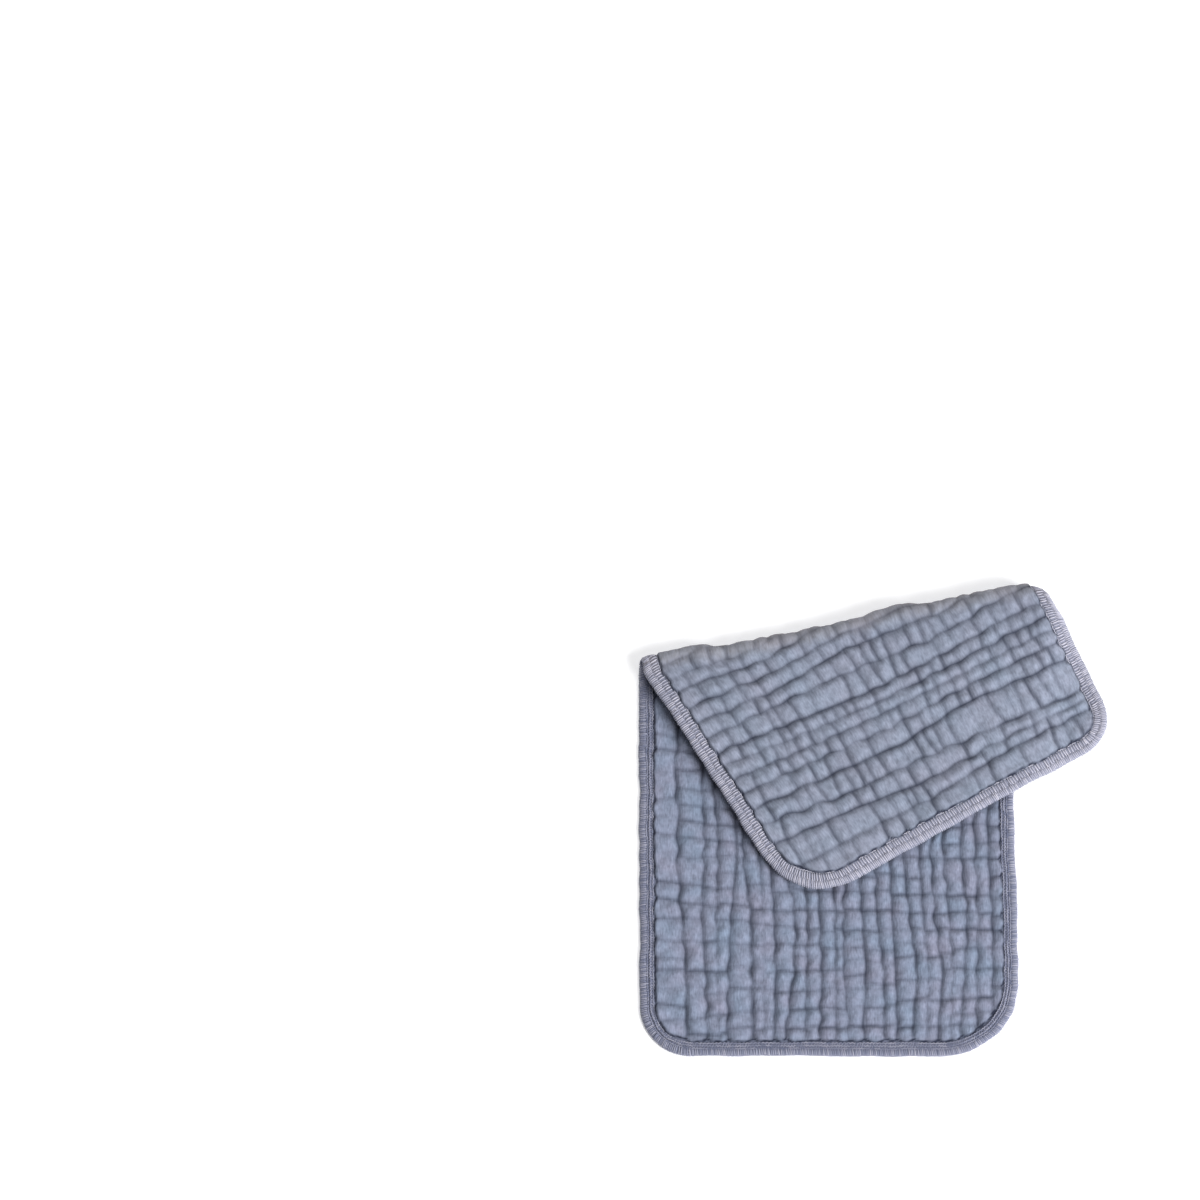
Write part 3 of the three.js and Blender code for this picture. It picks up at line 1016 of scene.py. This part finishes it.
@dataclass(frozen=True)
class GauzeFinish:
    """Crinkled cotton gauze, dyed blue-grey, with painted shade in its creases and valleys and a painted warm
    reflection on the fold's round.
    """

    blue: Tone = (118, 131, 152)
    mauve: Tone = (128, 130, 150)
    grey: Tone = (133, 139, 153)
    # The colour of the painted shade in creases, valleys and the needle-line groove.
    crease: Tone = (30, 35, 53)
    hem: Tone = (99, 103, 124)
    flap_hem: Tone = (124, 126, 143)
    # The colour of the painted warm reflection on the fold's round.
    fold_reflection: Tone = (160, 143, 122)
    grey_share: float = 0.5
    crease_shade_share: float = 0.95
    valley_shade_share: float = 0.37
    hem_share: float = 0.9
    fold_reflection_share: float = 0.7
    patch_scale: float = 0.42
    patch_ramp: Span = (0.28, 0.72)
    spot_scale: float = 2.6
    spot_share: float = 0.75
    strand_scale: tuple[float, float, float] = (9.0, 2.2, 1.0)
    strand_share: float = 0.9
    weave_scale: float = 14.0
    strand_bump: float = 0.7
    weave_bump: float = 0.3
    detail: float = 4.0
    soft_detail: float = 3.0
    bump: float = 0.55
    bump_height: float = 0.0009

    def material(self) -> bpy.types.Material:
        """Makes the material from the cloth's own map and attributes."""
        bench = NodeBench("crinkled_gauze")
        flat = bench.node("ShaderNodeUVMap", uv_map="flat_cloth").outputs[0]
        crease, valley_shade, hem, fold, turned = map(bench.carried, ("crease", "valley_shade", "hem", "fold", "turned"))
        striped = bench.node("ShaderNodeMapping", {"Vector": flat, "Scale": self.strand_scale}).outputs[0]
        patches = bench.ramp(bench.noise(flat, self.patch_scale, self.soft_detail), *self.patch_ramp)
        spots, strands = bench.noise(flat, self.spot_scale, self.detail), bench.noise(striped, 1.0, self.detail)
        dyed = bench.mix(patches, colour(self.blue), colour(self.mauve))
        base = bench.mix(bench.times(turned, self.grey_share), dyed, colour(self.grey))
        light = bench.times(bench.sum("SUBTRACT", spots, 0.5), self.spot_share)
        fine = bench.times(bench.sum("SUBTRACT", strands, 0.5), self.strand_share)
        tone = bench.sum("ADD", bench.sum("ADD", light, fine), 1.0)
        shade = bench.node("ShaderNodeVectorMath", {0: base, 3: tone}, operation="SCALE").outputs[0]
        sewn = bench.mix(turned, colour(self.hem), colour(self.flap_hem))
        # Over the dyed cloth: the hem's colour, painted warm reflection on the fold, painted shade in the valleys, and
        # painted shade in the crease bottoms and needle-line groove.
        for value, share, end in ((hem, self.hem_share, sewn), (fold, self.fold_reflection_share, colour(self.fold_reflection)),
                                  (valley_shade, self.valley_shade_share, colour(self.crease)),
                                  (crease, self.crease_shade_share, colour(self.crease))):
            shade = bench.mix(bench.times(value, share), shade, end)
        heights = bench.sum("ADD", bench.times(strands, self.strand_bump),
                            bench.times(bench.noise(flat, self.weave_scale, self.soft_detail), self.weave_bump))
        bench.join(bench.shader, {"Base Color": shade, "Normal": bench.bump(heights, self.bump, self.bump_height),
                                  "Roughness": 0.92, "Specular IOR Level": 0.15, "Sheen Weight": 0.15,
                                  "Sheen Roughness": 0.6})
        return bench.material


@dataclass(frozen=True)
class ThreadFinish:
    """Spun sewing thread, greyer and paler than the cloth."""

    pale: Tone = (194, 192, 204)
    deep: Tone = (101, 107, 131)
    tone_share: float = 0.65
    spot_scale: float = 260.0
    spot_share: float = 0.35
    fibre_scale: float = 2400.0
    bump: float = 0.5
    bump_height: float = 0.0002

    def material(self) -> bpy.types.Material:
        """Makes the material on the thread's own places."""
        bench = NodeBench("hem_thread")
        place = bench.node("ShaderNodeTexCoord").outputs["Object"]
        spots = bench.times(bench.noise(place, self.spot_scale, 3.0), self.spot_share)
        share = bench.sum("ADD", bench.times(bench.carried("tone"), self.tone_share), spots, clamp=True)
        bump = bench.bump(bench.noise(place, self.fibre_scale, 2.0), self.bump, self.bump_height)
        bench.join(bench.shader, {"Base Color": bench.mix(share, colour(self.deep), colour(self.pale)),
                                  "Normal": bump, "Roughness": 0.8, "Specular IOR Level": 0.25,
                                  "Sheen Weight": 0.2})
        return bench.material


@dataclass(frozen=True)
class RungCourse:
    """A course of short threads side by side: the faces and insets that each passes, and its tones."""

    stops: tuple[tuple[Face | None, float], ...]
    tones: tuple[float, ...]
    pitch: float
    radius: float
    slant: float
    lift: float
    seed: int
    bow: float = 0.0


@dataclass(frozen=True)
class Cord:
    """A thread right round the hem: its face and tone, and its place and swing in millimetres."""

    face: Face
    tone: float
    inset: float
    sway: float
    period: float
    lift: float


@dataclass
class OverlockThreads:
    """The overlock threads round the edge: rungs over it, and straight threads along it."""

    sheet: ClothSheet
    cord_radius: float = 0.42
    cord_rise: float = 0.12
    cord_uneven: float = 0.25
    cord_patch: int = 6
    cord_points: int = 4
    clearance: float = 0.1
    sides: int = 4
    flatness: float = 0.8
    seed: int = 71
    gathered: float = 0.18
    gathers_seed: int = 90
    start_spread: float = 0.18
    slants: Span = (0.5, 1.3)
    end_spread: float = 0.55
    widths: Span = (0.75, 1.2)
    end_width: float = 0.6
    edge_probe: float = 0.75
    uneven_tone: float = 0.27
    name: str = "overlock_threads"
    wrapping: RungCourse = RungCourse(
        stops=((Face.LAID, 5.2), (Face.LAID, 3.2), (Face.LAID, 1.2), (None, -0.2), (Face.TURNED, 1.2),
               (Face.TURNED, 3.2), (Face.TURNED, 5.3)),
        tones=(0.14, 0.14, 0.2, 0.38, 0.66, 0.7, 0.7), pitch=1.3, radius=0.55, slant=1.8, lift=0.0, seed=1)
    ladder: RungCourse = RungCourse(
        stops=tuple((Face.TURNED, inset) for inset in (4.5, 6.3, 8.1, 9.8)),
        tones=(0.76,) * 4, pitch=1.9, radius=0.56, slant=0.6, lift=0.14, seed=2, bow=0.2)
    inner_rungs: RungCourse = RungCourse(
        stops=tuple((Face.LAID, inset) for inset in (5.3, 6.6, 7.9, 9.2)),
        tones=(0.05,) * 4, pitch=1.7, radius=0.4, slant=1.3, lift=0.0, seed=3)
    cords: tuple[Cord, ...] = (
        Cord(Face.LAID, tone=0.1, inset=8.9, sway=0.3, period=2.6, lift=0.2),
        Cord(Face.LAID, tone=0.1, inset=6.8, sway=0.45, period=2.2, lift=0.24),
        Cord(Face.LAID, tone=0.0, inset=5.0, sway=0.35, period=2.4, lift=0.14),
        Cord(Face.TURNED, tone=0.7, inset=9.8, sway=0.25, period=2.4, lift=0.1),
    )

    def tubes(self, paths: Array, across: Array, radius: Array, closed: bool) -> Pair:
        """Sweeps flat tubes along paths.

        Args:
            paths: The paths, as path, point and place, in metres.
            across: The outward directions at the points.
            radius: The radii at each point of a path, in metres.
            closed: Whether each path's ends meet.

        Returns:
            The points, and the faces by their numbers.
        """

        def unit(vectors: Array) -> Array:
            """Returns the vectors at a length of 1."""
            return vectors / np.maximum(np.linalg.norm(vectors, axis=-1, keepdims=True), 1e-9)

        ahead = np.roll(paths, -1, axis=1) - np.roll(paths, 1, axis=1)
        if not closed:
            ahead[:, 0] = paths[:, 1] - paths[:, 0]
            ahead[:, -1] = paths[:, -1] - paths[:, -2]
        ahead = unit(ahead)
        side = unit(np.cross(ahead, across))
        up = np.cross(side, ahead)
        angles = (np.arange(self.sides) + 0.5) * 2.0 * math.pi / self.sides
        ring = side[:, :, None] * np.cos(angles)[:, None] + up[:, :, None] * (self.flatness * np.sin(angles))[:, None]
        points = paths[:, :, None] + ring * radius[..., None, None]
        number = np.arange(points.size // 3).reshape(points.shape[:3])
        start, end = (number, np.roll(number, -1, axis=1)) if closed else (number[:, :-1], number[:, 1:])
        quads = np.stack([start, np.roll(start, -1, axis=2), np.roll(end, -1, axis=2), end], axis=-1).reshape(-1, 4)
        if not closed:
            quads = np.concatenate([quads, number[:, 0, ::-1], number[:, -1]])
        return points.reshape(-1, 3), quads

    def on_face(self, face: Face, distance: Array, inset: Array, lift: Array) -> Pair:
        """Places thread points on a face of the hem.

        Args:
            face: The face.
            distance: Millimetres round the edge.
            inset: Millimetres inside the edge.
            lift: Millimetres above the cloth.

        Returns:
            The points in metres and the directions out of the face.
        """
        u, v = self.sheet.outline.edge_point(distance, inset)
        height = self.sheet.relief.hem.height(np.maximum(inset, 0.0)) + lift
        return self.sheet.placed(face, u, v, height), face.value * self.sheet.shape.normal(u, v)

    def on_edge(self, distance: Array, inset: float) -> Array:
        """Returns the points in metres on the cloth's middle at an inset from the edge."""
        u, v = self.sheet.outline.edge_point(distance, np.full(len(distance), inset))
        return self.sheet.placed(Face.LAID, u, v, np.zeros(len(distance)))

    def rungs(self, course: RungCourse) -> Pair:
        """Makes the threads that cross a band of the hem side by side.

        Args:
            course: Where they run, and how.

        Returns:
            The points, and the faces by their numbers.
        """
        draw = np.random.default_rng(self.seed + course.seed)
        girth = self.sheet.outline.girth
        count, last = int(girth / course.pitch), len(course.stops) - 1
        start = (np.arange(count) + draw.uniform(-self.start_spread, self.start_spread, count)) * girth / count
        slant = course.slant * draw.uniform(*self.slants, count)
        reach = draw.uniform(-self.end_spread, self.end_spread, count)
        gathers = self.gathered * Ripple(course.seed + self.gathers_seed, 2.6, 8.0, 7).along(start)
        paths, ups = [], []
        for step, (face, inset) in enumerate(course.stops):
            share = step / last
            distance = start + slant * (share - 0.5) + course.bow * math.sin(math.pi * share)
            if face is None:
                point = self.on_edge(distance, inset)
                up = point - self.on_edge(distance, inset + self.edge_probe)
            else:
                ends = reach * (step in (0, last))
                point, up = self.on_face(face, distance, inset + ends, course.lift + gathers)
            paths.append(point)
            ups.append(up)
        radius = np.full((count, last + 1), course.radius * MILLIMETRE) * draw.uniform(*self.widths, (count, 1))
        radius[:, [0, -1]] *= self.end_width
        return self.tubes(np.stack(paths, axis=1), np.stack(ups, axis=1), radius, closed=False)

    def cord_along(self, cord: Cord) -> Pair:
        """Makes one thread that runs right round the hem.

        Args:
            cord: Where it runs, and how.

        Returns:
            The points, and the faces by their numbers.
        """
        girth = self.sheet.outline.girth
        swings = round(girth / cord.period)
        count = swings * self.cord_points
        distance = np.arange(count) * girth / count
        swing = np.sin(distance * 2.0 * math.pi * swings / girth)
        uneven = Ripple(self.seed + round(cord.inset * 10), shortest=9.0, longest=40.0, waves=6).along(distance)
        rise = cord.lift + self.cord_rise * np.abs(np.cos(distance * math.pi * swings / girth))
        inset = cord.inset + cord.sway * swing + self.cord_uneven * uneven
        point, up = self.on_face(cord.face, distance, inset, rise)
        return self.tubes(point[None], up[None], np.full((1, count), self.cord_radius * MILLIMETRE), closed=True)

    def build(self) -> bpy.types.Object:
        """Builds the threads as one joined mesh, each point with its tone.

        Returns:
            The finished object, not yet dressed.
        """
        parts = [(course.tones, self.rungs(course)) for course in (self.wrapping, self.ladder, self.inner_rungs)]
        parts += [((cord.tone,) * self.cord_patch, self.cord_along(cord)) for cord in self.cords]
        draw = np.random.default_rng(self.seed)
        points, faces, tones, first = [], [], [], 0
        for part_tones, (part_points, part_faces) in parts:
            points.append(part_points)
            faces.append(part_faces + first)
            each = np.repeat(part_tones, self.sides)
            uneven = draw.uniform(-self.uneven_tone, self.uneven_tone, len(part_points) // len(each) + 1)
            tones.append((uneven[:, None] + each).ravel()[:len(part_points)])
            first += len(part_points)
        places = np.concatenate(points)
        places[:, 2] = np.maximum(places[:, 2], self.clearance * MILLIMETRE)
        return meshed(self.name, places, np.concatenate(faces).tolist(), {"tone": np.concatenate(tones)})


@dataclass(frozen=True)
class Lamp:
    """A square soft light that faces the cloth: its place and side in metres, its power in watts."""

    name: str
    place: tuple[float, float, float]
    size: float
    power: float

    def build(self) -> None:
        """Adds the light."""
        light = linked(self.name, bpy.data.lights.new(self.name, "AREA"))
        light.data.size, light.data.energy = self.size, self.power
        light.location = self.place
        light.rotation_euler = Vector(self.place).to_track_quat("Z", "Y").to_euler()


@dataclass
class Studio:
    """The camera, the pale floor and the soft lights."""

    origin: Vector
    aim: tuple[float, float] = (-27.0, 325.9)
    elevation: float = 70.0
    distance: float = 8.0
    lens: float = 352.9
    view_end: float = 100.0
    floor_size: float = 12.0
    floor: Tone = (246, 246, 247)
    floor_glow: float = 0.28
    room: Tone = (255, 255, 255)
    room_light: float = 0.22
    lamps: tuple[Lamp, ...] = (
        Lamp("window", place=(2.3, -1.8, 1.7), size=1.9, power=195.0),
        Lamp("ceiling", place=(-0.2, 1.7, 2.8), size=2.0, power=52.0),
    )

    def build_camera(self) -> None:
        """Sets the camera at the photograph's viewing angle."""
        tilt = math.radians(self.elevation)
        aim = Vector((self.aim[0] * MILLIMETRE, self.aim[1] * MILLIMETRE, 0.0)) + self.origin
        camera = linked("camera", bpy.data.cameras.new("camera"))
        camera.data.lens, camera.data.clip_end = self.lens, self.view_end
        camera.location = aim + Vector((0.0, -math.cos(tilt), math.sin(tilt))) * self.distance
        camera.rotation_euler = (math.pi / 2.0 - tilt, 0.0, 0.0)
        bpy.context.scene.camera = camera

    def build_floor(self) -> None:
        """Adds the floor."""
        bpy.ops.object.select_all(action="DESELECT")
        bpy.ops.mesh.primitive_plane_add(size=self.floor_size)
        floor = bpy.context.object
        floor.name = "floor"
        bench = NodeBench("pale_floor")
        bench.join(bench.shader, {"Base Color": colour(self.floor), "Emission Color": colour(self.floor),
                                  "Emission Strength": self.floor_glow, "Roughness": 0.9,
                                  "Specular IOR Level": 0.1})
        floor.data.materials.append(bench.material)

    def build(self) -> None:
        """Builds the studio."""
        self.build_camera()
        self.build_floor()
        for lamp in self.lamps:
            lamp.build()
        world = bpy.data.worlds.new("room")
        world.use_nodes = True
        background = world.node_tree.nodes["Background"]
        background.inputs["Color"].default_value = colour(self.room)
        background.inputs["Strength"].default_value = self.room_light
        bpy.context.scene.world = world
        bpy.context.scene.view_settings.view_transform = "Standard"
        LOG.info("studio: camera, floor and lights")


def main() -> None:
    """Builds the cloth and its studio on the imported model."""
    logging.basicConfig(level=logging.INFO)
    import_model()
    origin = Vector(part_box(CAD_NODE)[0])
    Studio(origin).build()
    shape = FoldedShape()
    outline = Outline(shape.width, shape.length, shape.corners)
    sheet = ClothSheet(shape, outline, Relief(shape, outline), origin)
    cloth = sheet.build()
    cloth.data.materials.append(GauzeFinish().material())
    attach(cloth, "root")
    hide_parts(CAD_NODE)
    threads = OverlockThreads(sheet).build()
    threads.data.materials.append(ThreadFinish().material())
    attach(threads, "root")


if __name__ == "__main__":
    main()
